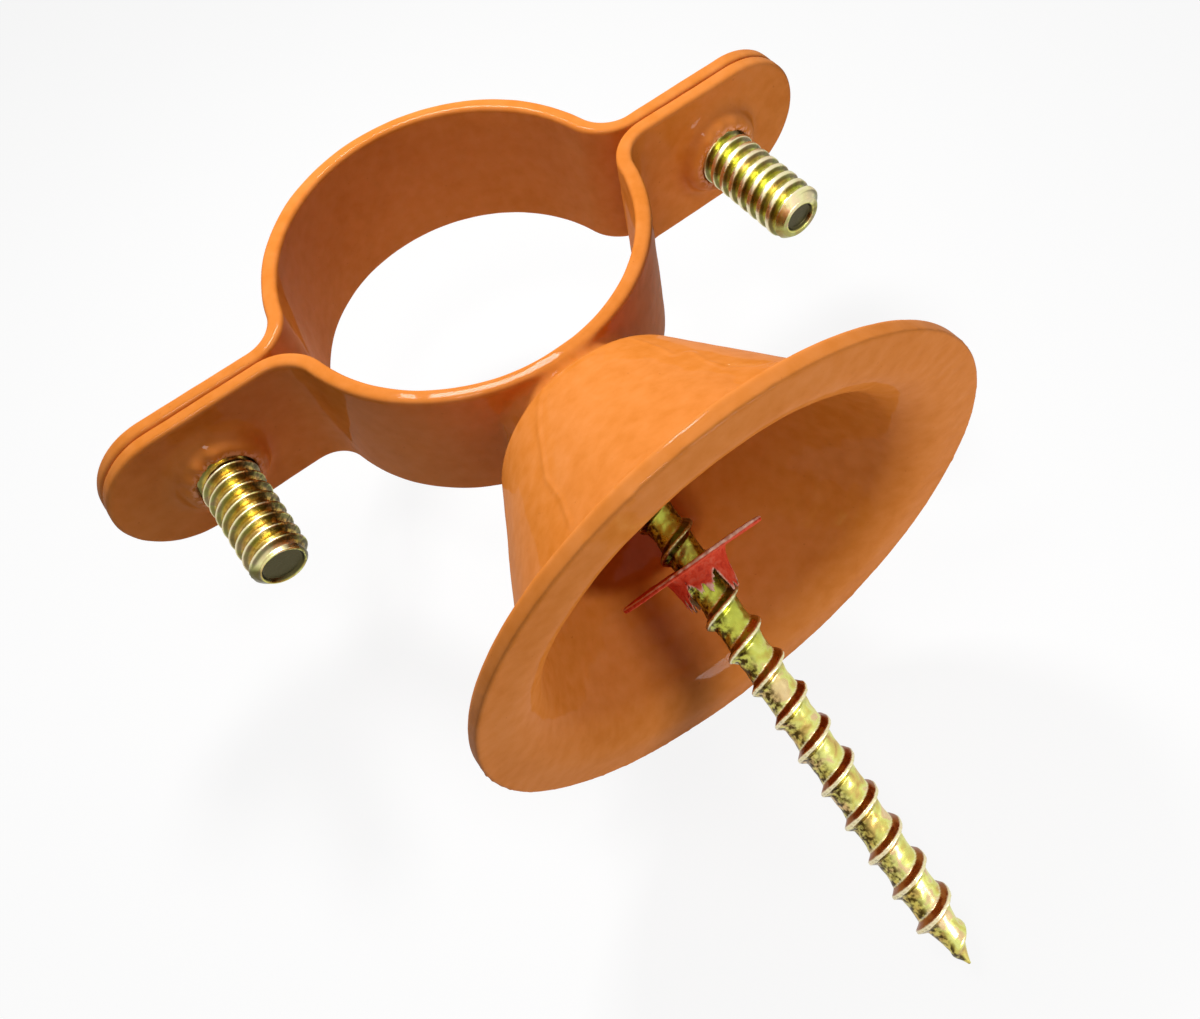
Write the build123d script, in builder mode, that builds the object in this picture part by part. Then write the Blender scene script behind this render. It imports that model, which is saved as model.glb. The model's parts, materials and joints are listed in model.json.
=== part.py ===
"""Bell hanger for a copper riser: a clamp ring in two halves that a flared bell holds off the wall.

The origin is the centre of the bell's rim, where it meets the wall. +Y points into the wall,
+Z runs up along the pipe and X runs along the clamp's ears. Lengths are in millimetres.
"""
import os
from math import atan2, cos, degrees, radians, sin, sqrt, tan

from build123d import *

# The clamp ring, made from painted strip
PIPE_RADIUS = 14.29
SHEET = 1.3
BAND_WIDTH = 12.4
RING_TO_WALL = 35.0
EAR_REACH = 33.5
EAR_BEND_RADIUS = 3.0
EDGE_BREAK = 0.25

# The machine screws, and the tapped collars drawn out of the rear ears
CLAMP_SCREW_X = 24.64
CLAMP_SCREW_RADIUS = 2.41
CLAMP_SCREW_PROUD = 12.55
CLAMP_SCREW_CHAMFER = 0.5
CLAMP_HEAD_RADIUS = 4.5
CLAMP_HEAD_HEIGHT = 2.7
CLAMP_HEAD_CROWN = 1.6
SLOT_WIDTH = 1.2
SLOT_DEPTH = 1.4
RUNNING_CLEARANCE = 0.05
COLLAR_RADIUS = 3.1
COLLAR_HEIGHT = 1.7
COLLAR_FOOT = 0.6

# The bell, a flared cup of the same strip
RIM_RADIUS = 21.05
BELL_HEIGHT = 18.2
CROWN_RADIUS = 7.88
WALL_SLOPE = 28
SHOULDER_BEND = 3.4
FLARE_BEND = 3.2
RIM_BREAK = 0.35

# The countersunk well in the bell's crown, and the seat drawn out of the ring for it
WELL_MOUTH_RADIUS = 4.5
WELL_HOLE_RADIUS = 2.8
WELL_BEND = 1.5
SEAT_BORE_RADIUS = 4.7
SEAT_RADIUS = 6.0

# The wood screw, which lies loose in the well and leans down and a little to one side
TILT = 23.4
TILT_TURN = 4
PIVOT_DEPTH = 17.7
SCREW_LENGTH = 49.2
SCREW_RADIUS = 1.9
NECK_RADIUS = 1.4
NECK_LENGTH = 4.2
POINT_LENGTH = 5.0
HEAD_RADIUS = 3.1
HEAD_RIM = 0.35
HEAD_ABOVE_PIVOT = 1.4
DRIVE_SPAN = 3.6
DRIVE_WIDTH = 0.8
DRIVE_DEPTH = 1.2
DRIVE_TAPER = 12

# The fibre washer that keeps the wood screw in the bell
WASHER_RADIUS = 6.2
WASHER_THICKNESS = 0.6
WASHER_FROM_PIVOT = 13.1
WASHER_CLEARANCE = 0.04

RING_Y = -RING_TO_WALL
CROWN_Y = -BELL_HEIGHT
AXIS_OF_BELL = Axis.Y


def facing_wall(y, x=0.0):
    """A plane across the Y axis, whose own X runs along the ears and whose normal is +Y."""
    return Plane(origin=(x, y, 0), x_dir=(1, 0, 0), z_dir=(0, 1, 0))


def band_half(ring_plane):
    """Half of the ring: a strip bent from an ear, half round the pipe, to the other ear."""
    bend = EAR_BEND_RADIUS + SHEET
    bend_x = sqrt((PIPE_RADIUS + bend) ** 2 - bend**2)
    lift_off = degrees(atan2(bend, bend_x))
    with BuildPart() as half:
        with BuildSketch(ring_plane):
            with BuildLine():
                Line((-EAR_REACH - 1, 0), (-bend_x, 0))
                CenterArc((-bend_x, bend), bend, -90, 90 - lift_off)
                CenterArc((0, 0), PIPE_RADIUS, 180 - lift_off, 2 * lift_off - 180)
                CenterArc((bend_x, bend), bend, 180 + lift_off, 90 - lift_off)
                Line((bend_x, 0), (EAR_REACH + 1, 0))
                offset(amount=SHEET, side=Side.LEFT)
            make_face()
        extrude(amount=BAND_WIDTH, both=True)
        with BuildSketch(facing_wall(RING_Y)):
            SlotOverall(2 * EAR_REACH, BAND_WIDTH)
        extrude(amount=2 * PIPE_RADIUS, both=True, mode=Mode.INTERSECT)
        chamfer(half.edges(), EDGE_BREAK)
    return half.part


def clamp_screw(side):
    """A machine screw through both ears, driven from the room side, with a slotted head."""
    x = side * CLAMP_SCREW_X
    shank_start = RING_Y - SHEET
    shank_end = RING_Y + CLAMP_SCREW_PROUD
    head_end = shank_start - CLAMP_HEAD_HEIGHT
    with BuildPart() as screw:
        with BuildSketch(Plane(origin=(x, 0, 0))):
            with BuildLine():
                Polyline(
                    (0, head_end),
                    (0, shank_end),
                    (CLAMP_SCREW_RADIUS - CLAMP_SCREW_CHAMFER, shank_end),
                    (CLAMP_SCREW_RADIUS, shank_end - CLAMP_SCREW_CHAMFER),
                    (CLAMP_SCREW_RADIUS, shank_start),
                    (CLAMP_HEAD_RADIUS, shank_start),
                    (CLAMP_HEAD_RADIUS, head_end + CLAMP_HEAD_CROWN),
                    (CLAMP_HEAD_RADIUS - CLAMP_HEAD_CROWN, head_end),
                    close=True,
                )
            make_face()
        revolve(axis=Axis((x, 0, 0), (0, 1, 0)))
        with BuildSketch(facing_wall(head_end, x)):
            Rectangle(2 * CLAMP_HEAD_RADIUS, SLOT_WIDTH)
        extrude(amount=SLOT_DEPTH, mode=Mode.SUBTRACT)
    return screw.part


# The half of the ring on the wall's side: the bell's drawn seat and two tapped collars
with BuildPart() as rear_clamp_half:
    add(band_half(Plane(origin=(0, RING_Y, 0))))
    with BuildSketch(facing_wall(RING_Y + PIPE_RADIUS + SHEET / 2)):
        Circle(SEAT_RADIUS)
    extrude(amount=CROWN_Y - RING_Y - PIPE_RADIUS - SHEET / 2)
    with BuildSketch(facing_wall(RING_Y + SHEET / 2)) as collars:
        with Locations((-CLAMP_SCREW_X, 0), (CLAMP_SCREW_X, 0)):
            Circle(COLLAR_RADIUS)
    extrude(amount=SHEET / 2 + COLLAR_HEIGHT)
    collar_feet = rear_clamp_half.edges().filter_by(GeomType.CIRCLE).filter_by(lambda e: e.radius == COLLAR_RADIUS)
    chamfer(collar_feet.group_by(Axis.Y)[0], COLLAR_FOOT)
    with BuildSketch(facing_wall(RING_Y - 1)):
        with Locations((-CLAMP_SCREW_X, 0), (CLAMP_SCREW_X, 0)):
            Circle(CLAMP_SCREW_RADIUS + RUNNING_CLEARANCE)
        Circle(SEAT_BORE_RADIUS)
    extrude(amount=RING_TO_WALL, mode=Mode.SUBTRACT)

# The half of the ring on the room's side, with a plain hole in each ear
with BuildPart() as front_clamp_half:
    add(band_half(Plane(origin=(0, RING_Y, 0), x_dir=(-1, 0, 0), z_dir=(0, 0, 1))))
    with BuildSketch(facing_wall(RING_Y - 2 * SHEET)):
        with Locations((-CLAMP_SCREW_X, 0), (CLAMP_SCREW_X, 0)):
            Circle(CLAMP_SCREW_RADIUS + 2 * RUNNING_CLEARANCE)
    extrude(amount=3 * SHEET, mode=Mode.SUBTRACT)

# The bell: a well for the screw's head, a flat crown, a round shoulder, a conical wall and a rim
flare_radius = CROWN_RADIUS + (BELL_HEIGHT - SHEET) * tan(radians(WALL_SLOPE))
well_depth = WELL_MOUTH_RADIUS - WELL_HOLE_RADIUS
with BuildPart() as bell:
    with BuildSketch(Plane.XY):
        with BuildLine():
            FilletPolyline(
                (WELL_HOLE_RADIUS, CROWN_Y + well_depth),
                (WELL_MOUTH_RADIUS, CROWN_Y),
                (CROWN_RADIUS, CROWN_Y),
                (flare_radius, -SHEET),
                (RIM_RADIUS, -SHEET),
                radius=[WELL_BEND, SHOULDER_BEND, FLARE_BEND],
            )
            offset(amount=SHEET, side=Side.LEFT)
        make_face()
    revolve(axis=AXIS_OF_BELL)
    rim_edges = bell.edges().filter_by(GeomType.CIRCLE).filter_by(lambda e: e.radius > RIM_RADIUS - 0.01)
    chamfer(rim_edges, RIM_BREAK)

# The wood screw: its sketch plane holds the screw's axis, which starts at the pivot in the well
pivot = Vector(0, -PIVOT_DEPTH, 0)
lean = Vector(sin(radians(TILT_TURN)), 0, -cos(radians(TILT_TURN)))
screw_direction = Vector(0, 1, 0) * cos(radians(TILT)) + lean * sin(radians(TILT))
hinge_direction = lean.cross(Vector(0, 1, 0))
screw_axis = Axis(pivot, screw_direction)
along_screw = Plane(origin=pivot, x_dir=hinge_direction, z_dir=hinge_direction.cross(screw_direction))
head_top = Plane(origin=pivot - screw_direction * HEAD_ABOVE_PIVOT, x_dir=hinge_direction, z_dir=screw_direction)
with BuildPart() as wood_screw:
    head_edge = HEAD_RIM - HEAD_ABOVE_PIVOT
    neck_start = head_edge + HEAD_RADIUS - NECK_RADIUS
    tip = SCREW_LENGTH - HEAD_ABOVE_PIVOT
    with BuildSketch(along_screw):
        with BuildLine():
            Polyline(
                (0, -HEAD_ABOVE_PIVOT),
                (HEAD_RADIUS, -HEAD_ABOVE_PIVOT),
                (HEAD_RADIUS, head_edge),
                (NECK_RADIUS, neck_start),
                (NECK_RADIUS, NECK_LENGTH),
                (SCREW_RADIUS, NECK_LENGTH + 1),
                (SCREW_RADIUS, tip - POINT_LENGTH),
                (0, tip),
                close=True,
            )
        make_face()
    revolve(axis=screw_axis)
    with BuildSketch(head_top):
        Rectangle(DRIVE_SPAN, DRIVE_WIDTH)
        Rectangle(DRIVE_WIDTH, DRIVE_SPAN)
    extrude(amount=DRIVE_DEPTH, taper=DRIVE_TAPER, mode=Mode.SUBTRACT)

# The fibre washer that keeps the wood screw from falling out of the bell
washer_plane = Plane(
    origin=pivot + screw_direction * (WASHER_FROM_PIVOT - WASHER_THICKNESS / 2),
    x_dir=hinge_direction,
    z_dir=screw_direction,
)
with BuildPart() as retaining_washer:
    with BuildSketch(washer_plane):
        Circle(WASHER_RADIUS)
        Circle(SCREW_RADIUS + WASHER_CLEARANCE, mode=Mode.SUBTRACT)
    extrude(amount=WASHER_THICKNESS)

pieces = {
    "bell": bell.part,
    "rear_clamp_half": rear_clamp_half.part,
    "front_clamp_half": front_clamp_half.part,
    "clamp_screw_left": clamp_screw(-1),
    "clamp_screw_right": clamp_screw(1),
    "wood_screw": wood_screw.part,
    "retaining_washer": retaining_washer.part,
}

os.makedirs("parts", exist_ok=True)
for name, piece in pieces.items():
    piece.label = name
    export_step(piece, f"parts/{name}.step")
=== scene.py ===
"""Looks for the bell hanger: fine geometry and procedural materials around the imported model.

Lengths are in millimetres until a mesh is made, which is in metres, in the model's own frame.
"""
import json
import math

import bpy
import numpy as np
from mathutils import Matrix, Vector


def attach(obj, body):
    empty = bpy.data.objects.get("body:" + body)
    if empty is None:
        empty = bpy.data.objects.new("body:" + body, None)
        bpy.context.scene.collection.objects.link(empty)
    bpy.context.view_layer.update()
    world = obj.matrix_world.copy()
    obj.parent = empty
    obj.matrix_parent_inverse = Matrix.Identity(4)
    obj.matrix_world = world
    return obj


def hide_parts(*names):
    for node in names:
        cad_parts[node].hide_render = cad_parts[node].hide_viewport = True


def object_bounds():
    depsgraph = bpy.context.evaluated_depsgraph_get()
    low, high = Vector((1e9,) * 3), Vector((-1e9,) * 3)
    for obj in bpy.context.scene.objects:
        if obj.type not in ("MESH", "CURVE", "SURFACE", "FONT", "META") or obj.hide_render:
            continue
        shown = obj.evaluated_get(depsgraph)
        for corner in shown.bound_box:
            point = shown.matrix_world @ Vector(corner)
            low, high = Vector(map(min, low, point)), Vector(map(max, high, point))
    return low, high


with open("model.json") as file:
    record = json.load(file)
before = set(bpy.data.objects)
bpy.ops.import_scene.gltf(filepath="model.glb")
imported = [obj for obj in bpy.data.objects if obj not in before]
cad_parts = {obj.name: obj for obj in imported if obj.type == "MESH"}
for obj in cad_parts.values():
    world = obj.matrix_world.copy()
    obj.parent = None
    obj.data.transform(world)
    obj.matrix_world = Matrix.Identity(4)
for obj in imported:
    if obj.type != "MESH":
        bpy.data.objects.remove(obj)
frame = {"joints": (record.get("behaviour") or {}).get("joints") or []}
cad_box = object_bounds()

MM = 0.001

# The photograph's camera, fitted to the clamp ring, the ears and the rim
CAMERA_PLACE = (18.0008, 24.0184, 65.9594)
CAMERA_RIGHT = (-0.80180424, 0.58104752, -0.13961995)
CAMERA_DOWN = (0.56853148, 0.66974098, -0.4777227)
CAMERA_FORWARD = (-0.18407039, -0.46241842, -0.86734497)
CAMERA_LENS = 31.765
FILM_WIDTH = 36.0


def aimed(name, data, place, right, up, back):
    """An object at a place in millimetres whose own axes are the three given directions."""
    made = bpy.data.objects.new(name, data)
    bpy.context.scene.collection.objects.link(made)
    turn = Matrix((right, up, back)).transposed().to_4x4()
    made.matrix_world = Matrix.Translation(Vector(place) * MM) @ turn
    return made


camera_data = bpy.data.cameras.new("camera")
camera_data.sensor_fit = "HORIZONTAL"
camera_data.sensor_width = FILM_WIDTH
camera_data.lens = CAMERA_LENS
camera_data.clip_start = 0.002
camera_data.clip_end = 10
camera_up = -Vector(CAMERA_DOWN)
camera_back = -Vector(CAMERA_FORWARD)
camera = aimed("camera", camera_data, CAMERA_PLACE, CAMERA_RIGHT, camera_up, camera_back)
bpy.context.scene.camera = camera

# The direction each lamp shines from, in the camera's own axes (right, up and back), its distance and
# its side in millimetres, and its power in watts
LAMPS = {
    "key": ((-0.5, 1.0, 0.5), 110, 26, 0.136),
    "front": ((-0.5, 0.5, 1.3), 130, 24, 0.042),
    "side": ((0.9, -0.5, 0.65), 110, 36, 0.06),
}
# The place in millimetres that every lamp looks at
LIT_PLACE = (0, -10, 0)

WORLD_LEVEL = 0.11
WHITE = (1, 1, 1, 1)

# The floor's half width and its drop below the object in metres, its colour, and how far what is seen
# of it goes towards plain white
FLOOR_REACH = 5.0
FLOOR_DROP = 0.004
FLOOR_COLOUR = (0.86, 0.86, 0.86, 1)
FLOOR_SHOWN = 0.88


def softbox(name, direction, distance, size, power):
    """A square area light that looks at the object from a direction in the camera's own axes."""
    data = bpy.data.lights.new(name, "AREA")
    data.shape = "SQUARE"
    data.size = size * MM
    data.energy = power
    towards = camera.matrix_world.to_3x3() @ Vector(direction).normalized()
    place = Vector(LIT_PLACE) + towards * distance
    side = towards.orthogonal().normalized()
    return aimed(name, data, place, side, towards.cross(side), towards)


for lamp, settings in LAMPS.items():
    softbox(lamp, *settings)


def add(tree, kind, inputs=(), **settings):
    """A shader node with its settings, and its inputs as values or as sockets to link."""
    node = tree.nodes.new("ShaderNode" + kind)
    for key, value in settings.items():
        setattr(node, key, value)
    for socket, value in dict(inputs).items():
        if isinstance(value, bpy.types.NodeSocket):
            tree.links.new(value, node.inputs[socket])
        else:
            node.inputs[socket].default_value = value
    return node


def times(tree, first, second, clamped=False):
    """The product of two values."""
    return add(tree, "Math", {0: first, 1: second}, operation="MULTIPLY", use_clamp=clamped).outputs[0]


def light_path_share(tree):
    """A value that is 1 for what the camera, a glossy ray or a transmission ray sees."""
    path = add(tree, "LightPath").outputs
    seen = add(tree, "Math", {0: path["Is Camera Ray"], 1: path["Is Glossy Ray"]}, operation="MAXIMUM")
    seen = {0: seen.outputs[0], 1: path["Is Transmission Ray"]}
    return add(tree, "Math", seen, operation="MAXIMUM").outputs[0]


world = bpy.data.worlds.new("studio")
bpy.context.scene.world = world
world.use_nodes = True
tree = world.node_tree
tree.nodes.clear()
lit = add(tree, "Background", {"Color": WHITE, "Strength": WORLD_LEVEL}).outputs[0]
shown = add(tree, "Background", {"Color": WHITE, "Strength": 1}).outputs[0]
mix = add(tree, "MixShader", {0: light_path_share(tree), 1: lit, 2: shown}).outputs[0]
add(tree, "OutputWorld", {"Surface": mix})

floor_z = cad_box[0].z - FLOOR_DROP
corners = [(-1, -1), (1, -1), (1, 1), (-1, 1)]
floor_mesh = bpy.data.meshes.new("floor")
floor_mesh.from_pydata([(x * FLOOR_REACH, y * FLOOR_REACH, floor_z) for x, y in corners], [], [(0, 1, 2, 3)])
floor = bpy.data.objects.new("floor", floor_mesh)
bpy.context.scene.collection.objects.link(floor)

floor_look = bpy.data.materials.new("floor_white")
floor_look.use_nodes = True
tree = floor_look.node_tree
tree.nodes.clear()
lit = add(tree, "BsdfDiffuse", {"Color": FLOOR_COLOUR}).outputs[0]
shown = add(tree, "Emission", {"Color": WHITE, "Strength": 1}).outputs[0]
share = times(tree, light_path_share(tree), FLOOR_SHOWN)
mix = add(tree, "MixShader", {0: share, 1: lit, 2: shown}).outputs[0]
add(tree, "OutputMaterial", {"Surface": mix})
floor_mesh.materials.append(floor_look)

bpy.context.scene.view_settings.view_transform = "Standard"

# Sizes from here on are in millimetres. Most of the large ones are the same in the CAD.

# The clamp ring's strip, and the cell and the margin of the grid that it is meshed on
PIPE_RADIUS = 14.29
SHEET = 1.3
BAND_WIDTH = 12.4
RING_TO_WALL = 35.0
EAR_REACH = 33.5
EAR_BEND_RADIUS = 3.0
STRIP_ROUNDING = 0.4
HOLE_ROUNDING = 0.35
CLAMP_CELL = 0.16
MARGIN = 0.5

# The collars drawn out of the rear ears. Their lips are uneven and chipped, and the paint is worn there,
# from the first height and reach of each pair to the second. A turn is in radians.
COLLAR_RADIUS = 3.5
COLLAR_HEIGHT = 1.7
COLLAR_DRAFT = 0.12
COLLAR_ROUNDING = 1.0
COLLAR_FILLET = 1.5
LIP_UNEVENNESS = 0.09
LEFT_LIP_TURN = 2.0
CHIP_DEPTH = 0.16
CHIPPED_ABOVE = SHEET + 0.8
CHIPPED_FROM = 0.4
LIP_ROUNDING = 0.16
COLLAR_GAP = 0.04
FRONT_HOLE_GAP = 0.1
WORN_HEIGHT = (SHEET + 0.9, SHEET + 1.4)
WORN_REACH = (0.25, 0.7)

# The seat drawn out of the ring for the bell
SEAT_BORE_RADIUS = 4.7
SEAT_RADIUS = 6.0
SEAT_FLARE = 0.35
SEAT_FLARE_HEIGHT = 0.7
SEAT_FILLET = 0.9
SEAT_GAP = 0.01
SEAT_ROUNDING = 0.5

# The machine screws, which have a coarse thread, a chamfered, dished end and a slotted round head
CLAMP_SCREW_X = 24.64
CLAMP_SCREW_RADIUS = 2.41
CLAMP_SCREW_PROUD = 12.55
CLAMP_PITCH = 1.175
CLAMP_THREAD_DEPTH = 0.58
CLAMP_FLANK = 0.34
FLANK_HOLLOW = 1.3
CLAMP_END_CHAMFER = 0.62
CLAMP_SCREW_CELL = 0.075
END_DISH_DEPTH = 0.3
END_DISH_SLOPE = 0.25
CLAMP_HEAD_RADIUS = 4.5
CLAMP_HEAD_HEIGHT = 2.7
CLAMP_HEAD_SKIRT = 0.8
IN_HEAD = 0.2
CLAMP_HEAD_ROUNDING = 0.4
CLAMP_HEAD_FOOT_ROUNDING = 0.25
SLOT_WIDTH = 1.2
SLOT_DEPTH = 1.4
SLOT_ROUNDING = 0.12

# The bell, its rounded edges and the relief of its rim. The slope is in degrees.
RIM_RADIUS = 21.05
BELL_HEIGHT = 18.2
CROWN_RADIUS = 7.88
WALL_SLOPE = 28
SHOULDER_BEND = 3.4
FLARE_BEND = 3.2
WELL_MOUTH_RADIUS = 4.5
WELL_HOLE_RADIUS = 2.8
WELL_BEND = 1.5
WELL_INNER_BEND = 0.25
WELL_ROUNDING = 0.35
RIM_BACK_ROUNDING = 0.42
RIM_FRONT_ROUNDING = 0.22
FLANGE_HOLLOW = 0.022
RIM_RELIEF = 0.03
SECTION_SPACING = 0.21
COLUMNS = 720

# The wood screw, from its pivot in the bell's well. Its point and the flanks of its thread are curved, and
# its head's cone is at 45 degrees, so a distance across the cone is 0.7071 of one along the screw.
SCREW_TIP = 47.8
SCREW_CREST_RADIUS = 1.86
SCREW_CORE_RADIUS = 1.36
SCREW_PITCH = 2.918
WOOD_CREST = 0.22
HEAD_FLANK = 0.44
POINT_FLANK = 0.34
RIDGE_HOLLOW = 1.15
CORE_WAIST = 0.05
POINT_TAPER = 5.6
POINT_BULGE = 1.9
POINT_RADIUS = 0.05
TIP_CREST_RADIUS = 0.16
TIP_CREST_SLOPE = 0.47
NECK_RADIUS = 1.4
NECK_LENGTH = 4.2
NECK_STEP = 0.04
THREAD_RUN_IN = 2.2
HEAD_RADIUS = 3.1
HEAD_RIM = 0.35
HEAD_RIM_ROUNDING = 0.15
HEAD_TOP_ROUNDING = 0.2
HEAD_FILLET = 0.3
HEAD_SLANT = 0.7071
HEAD_ABOVE_PIVOT = 1.4
HEAD_BELOW_PIVOT = 3
DRIVE_SPAN = 3.6
DRIVE_WIDTH = 0.8
DRIVE_DEPTH = 1.2
DRIVE_ROUNDING = 0.1
DRIVE_TAPER = 0.2126
WOOD_SCREW_CELL = 0.1

# The fibre washer
WASHER_RADIUS = 6.15
WASHER_FROM_PIVOT = 13.1
WASHER_SHEET = 0.36
WASHER_WARP = 0.10
WASHER_ROUNDING = 0.1
EDGE_FRAY = 0.06
TEAR_FRAY = 0.07
WASHER_RELIEF = 0.02
WASHER_CELL = 0.075

RING_MIDDLE = PIPE_RADIUS + SHEET / 2
BEND_MIDDLE = EAR_BEND_RADIUS + SHEET / 2
BEND_Y = EAR_BEND_RADIUS + SHEET
BEND_X = math.sqrt((PIPE_RADIUS + BEND_Y) ** 2 - BEND_Y**2)
LIFT_OFF = math.atan2(BEND_Y, BEND_X)
EAR_CENTRE = EAR_REACH - BAND_WIDTH / 2
CROWN_Y = RING_TO_WALL - BELL_HEIGHT


def waves(points, seed, length, count=10):
    """A smooth random height, mostly within -1 to 1, that varies over a length in millimetres."""
    rng = np.random.default_rng(seed)
    total = np.zeros(len(points))
    for _ in range(count):
        direction = rng.normal(size=3)
        direction *= 2 * math.pi / length * rng.uniform(0.6, 1.5) / np.linalg.norm(direction)
        total += np.sin(points @ direction + rng.uniform(0, 2 * math.pi))
    return total / math.sqrt(count)


def ripples(angle, seed, count=6, highest=14):
    """A random height around a circle, mostly within -1 to 1."""
    rng = np.random.default_rng(seed)
    total = 0
    for _ in range(count):
        total = total + np.sin(angle * rng.integers(2, highest) + rng.uniform(0, 2 * math.pi))
    return total / math.sqrt(count)


def ramp(value, low, high):
    """0 below low and 1 above high, with a smooth step between."""
    share = np.clip((value - low) / (high - low), 0, 1)
    return share * share * (3 - 2 * share)


def window(value, starts, full, full_to, ends):
    """1 between the middle two values and 0 outside the other two, with smooth steps."""
    return ramp(value, starts, full) * (1 - ramp(value, full_to, ends))


def swing(angle, start):
    """The shorter way round from a start to an angle, in radians."""
    return (angle - start + math.pi) % (2 * math.pi) - math.pi


def joined(a, b, blend):
    """Two fields as one, with a fillet of about the given size where they meet."""
    near = np.maximum(blend - np.abs(a - b), 0)
    return np.minimum(a, b) - near * near / (4 * blend)


def cut(a, b, blend):
    """Field a with field b taken away, and a rounded edge."""
    return -joined(-a, b, blend)


def common(a, b, blend):
    """What two fields share, with a rounded edge."""
    return -joined(-a, -b, blend)


def gradient(field, points, step=0.01):
    """The slope of a field at points."""
    slopes = []
    for axis in range(3):
        shift = np.zeros(3)
        shift[axis] = step
        slopes.append((field(*(points + shift).T) - field(*(points - shift).T)) / (2 * step))
    return np.stack(slopes, 1)


def surface_net(field, low, high, cell):
    """Vertices, quads and outward normals of the surface on which a field is zero."""
    low, high = np.array(low, float), np.array(high, float)
    counts = np.ceil((high - low) / cell).astype(int) + 1
    axes = [(low[i] + cell * np.arange(counts[i])).astype(np.float32) for i in range(3)]
    values = field(*np.meshgrid(*axes, indexing="ij"))
    inside = values < 0
    total = np.zeros(counts - 1, np.uint8)
    for corner in np.ndindex(2, 2, 2):
        total += inside[tuple(slice(c, c + n) for c, n in zip(corner, counts - 1))]
    cells = np.argwhere((total > 0) & (total < 8))
    number = np.full(counts - 1, -1, np.int64)
    number[tuple(cells.T)] = np.arange(len(cells))
    summed = np.zeros((len(cells), 3))
    crossings = np.zeros(len(cells))
    for axis in range(3):
        step = np.eye(3, dtype=int)[axis]
        for first in np.ndindex(2, 2):
            corner = np.insert(np.array(first), axis, 0)
            near = values[tuple((cells + corner).T)]
            far = values[tuple((cells + corner + step).T)]
            crosses = (near < 0) != (far < 0)
            share = np.where(crosses, near / np.where(crosses, near - far, 1), 0)
            summed += crosses[:, None] * (corner + share[:, None] * step)
            crossings += crosses
    points = low + cell * (cells + summed / crossings[:, None])
    quads = []
    for axis in range(3):
        one = [slice(1, -1)] * 3
        two = [slice(1, -1)] * 3
        one[axis], two[axis] = slice(0, -1), slice(1, None)
        leaves = inside[tuple(one)] & ~inside[tuple(two)]
        enters = ~inside[tuple(one)] & inside[tuple(two)]
        across, along = (axis + 1) % 3, (axis + 2) % 3
        for change, order in ((leaves, 1), (enters, -1)):
            place = np.argwhere(change)
            place[:, [across, along]] += 1
            corners = []
            for a, b in ((-1, -1), (0, -1), (0, 0), (-1, 0)):
                cell_place = place.copy()
                cell_place[:, across] += a
                cell_place[:, along] += b
                corners.append(number[tuple(cell_place.T)])
            quads.append(np.stack(corners[::order], 1))
    for _ in range(3):
        slope = gradient(field, points)
        size = np.maximum((slope**2).sum(1), 1e-6)
        move = field(*points.T) / size
        points -= np.clip(move * np.sqrt(size), -cell, cell)[:, None] * slope / np.sqrt(size)[:, None]
    slope = gradient(field, points)
    normals = slope / np.linalg.norm(slope, axis=1)[:, None]
    return points, np.concatenate(quads), normals


def piece(name, points, faces, look, body, node, attributes=()):
    """A smooth mesh from points in millimetres that stands for a node and rides on its body."""
    mesh = bpy.data.meshes.new(name)
    mesh.vertices.add(len(points))
    mesh.vertices.foreach_set("co", (np.asarray(points) * MM).astype(np.float32).ravel())
    sides = faces.shape[1]
    mesh.loops.add(faces.size)
    mesh.loops.foreach_set("vertex_index", faces.astype(np.int32).ravel())
    mesh.polygons.add(len(faces))
    mesh.polygons.foreach_set("loop_start", np.arange(0, faces.size, sides, dtype=np.int32))
    mesh.polygons.foreach_set("use_smooth", np.ones(len(faces), bool))
    mesh.update(calc_edges=True)
    mesh.validate()
    for key, values in dict(attributes).items():
        made = mesh.attributes.new(key, "FLOAT", "POINT")
        made.data.foreach_set("value", np.asarray(values, np.float32))
    mesh.materials.append(look)
    shown_piece = bpy.data.objects.new(name, mesh)
    bpy.context.scene.collection.objects.link(shown_piece)
    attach(shown_piece, body)
    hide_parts(node)
    return shown_piece


def noise(tree, place, scale, detail=3.0, distortion=0.0):
    """A noise height from 0 to 1; scale is in waves per millimetre."""
    inputs = {"Vector": place, "Scale": scale, "Detail": detail, "Distortion": distortion}
    return add(tree, "TexNoise", inputs).outputs["Fac"]


def millimetres(tree):
    """The mesh's own coordinates, in millimetres."""
    place = add(tree, "TexCoord").outputs["Object"]
    return add(tree, "VectorMath", {0: place, "Scale": 1 / MM}, operation="SCALE").outputs[0]


def between(tree, share, low, high):
    """A value that runs from low to high as share runs from 0 to 1."""
    return add(tree, "MapRange", {"Value": share, "To Min": low, "To Max": high}).outputs[0]


def within(tree, value, low, high):
    """A share that runs from 0 to 1 as a value runs from low to high."""
    return add(tree, "MapRange", {"Value": value, "From Min": low, "From Max": high}).outputs[0]


def mean(tree, first, second):
    """Half the sum of two values."""
    return times(tree, add(tree, "Math", {0: first, 1: second}, operation="ADD").outputs[0], 0.5)


def graded(tree, share, stops):
    """Colours by a value, from (position, colour) stops."""
    node = add(tree, "ValToRGB", {"Fac": share})
    elements = node.color_ramp.elements
    while len(elements) < len(stops):
        elements.new(0.5)
    for element, (position, colour) in zip(elements, stops):
        element.position = position
        element.color = (*colour, 1)
    return node.outputs["Color"]


def mixed(tree, share, first, second):
    """A blend of two colours."""
    node = add(tree, "Mix", data_type="RGBA")
    for socket, value in ((0, share), (6, first), (7, second)):
        if isinstance(value, bpy.types.NodeSocket):
            tree.links.new(value, node.inputs[socket])
        else:
            node.inputs[socket].default_value = value if socket == 0 else (*value, 1)
    return node.outputs[2]


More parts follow.
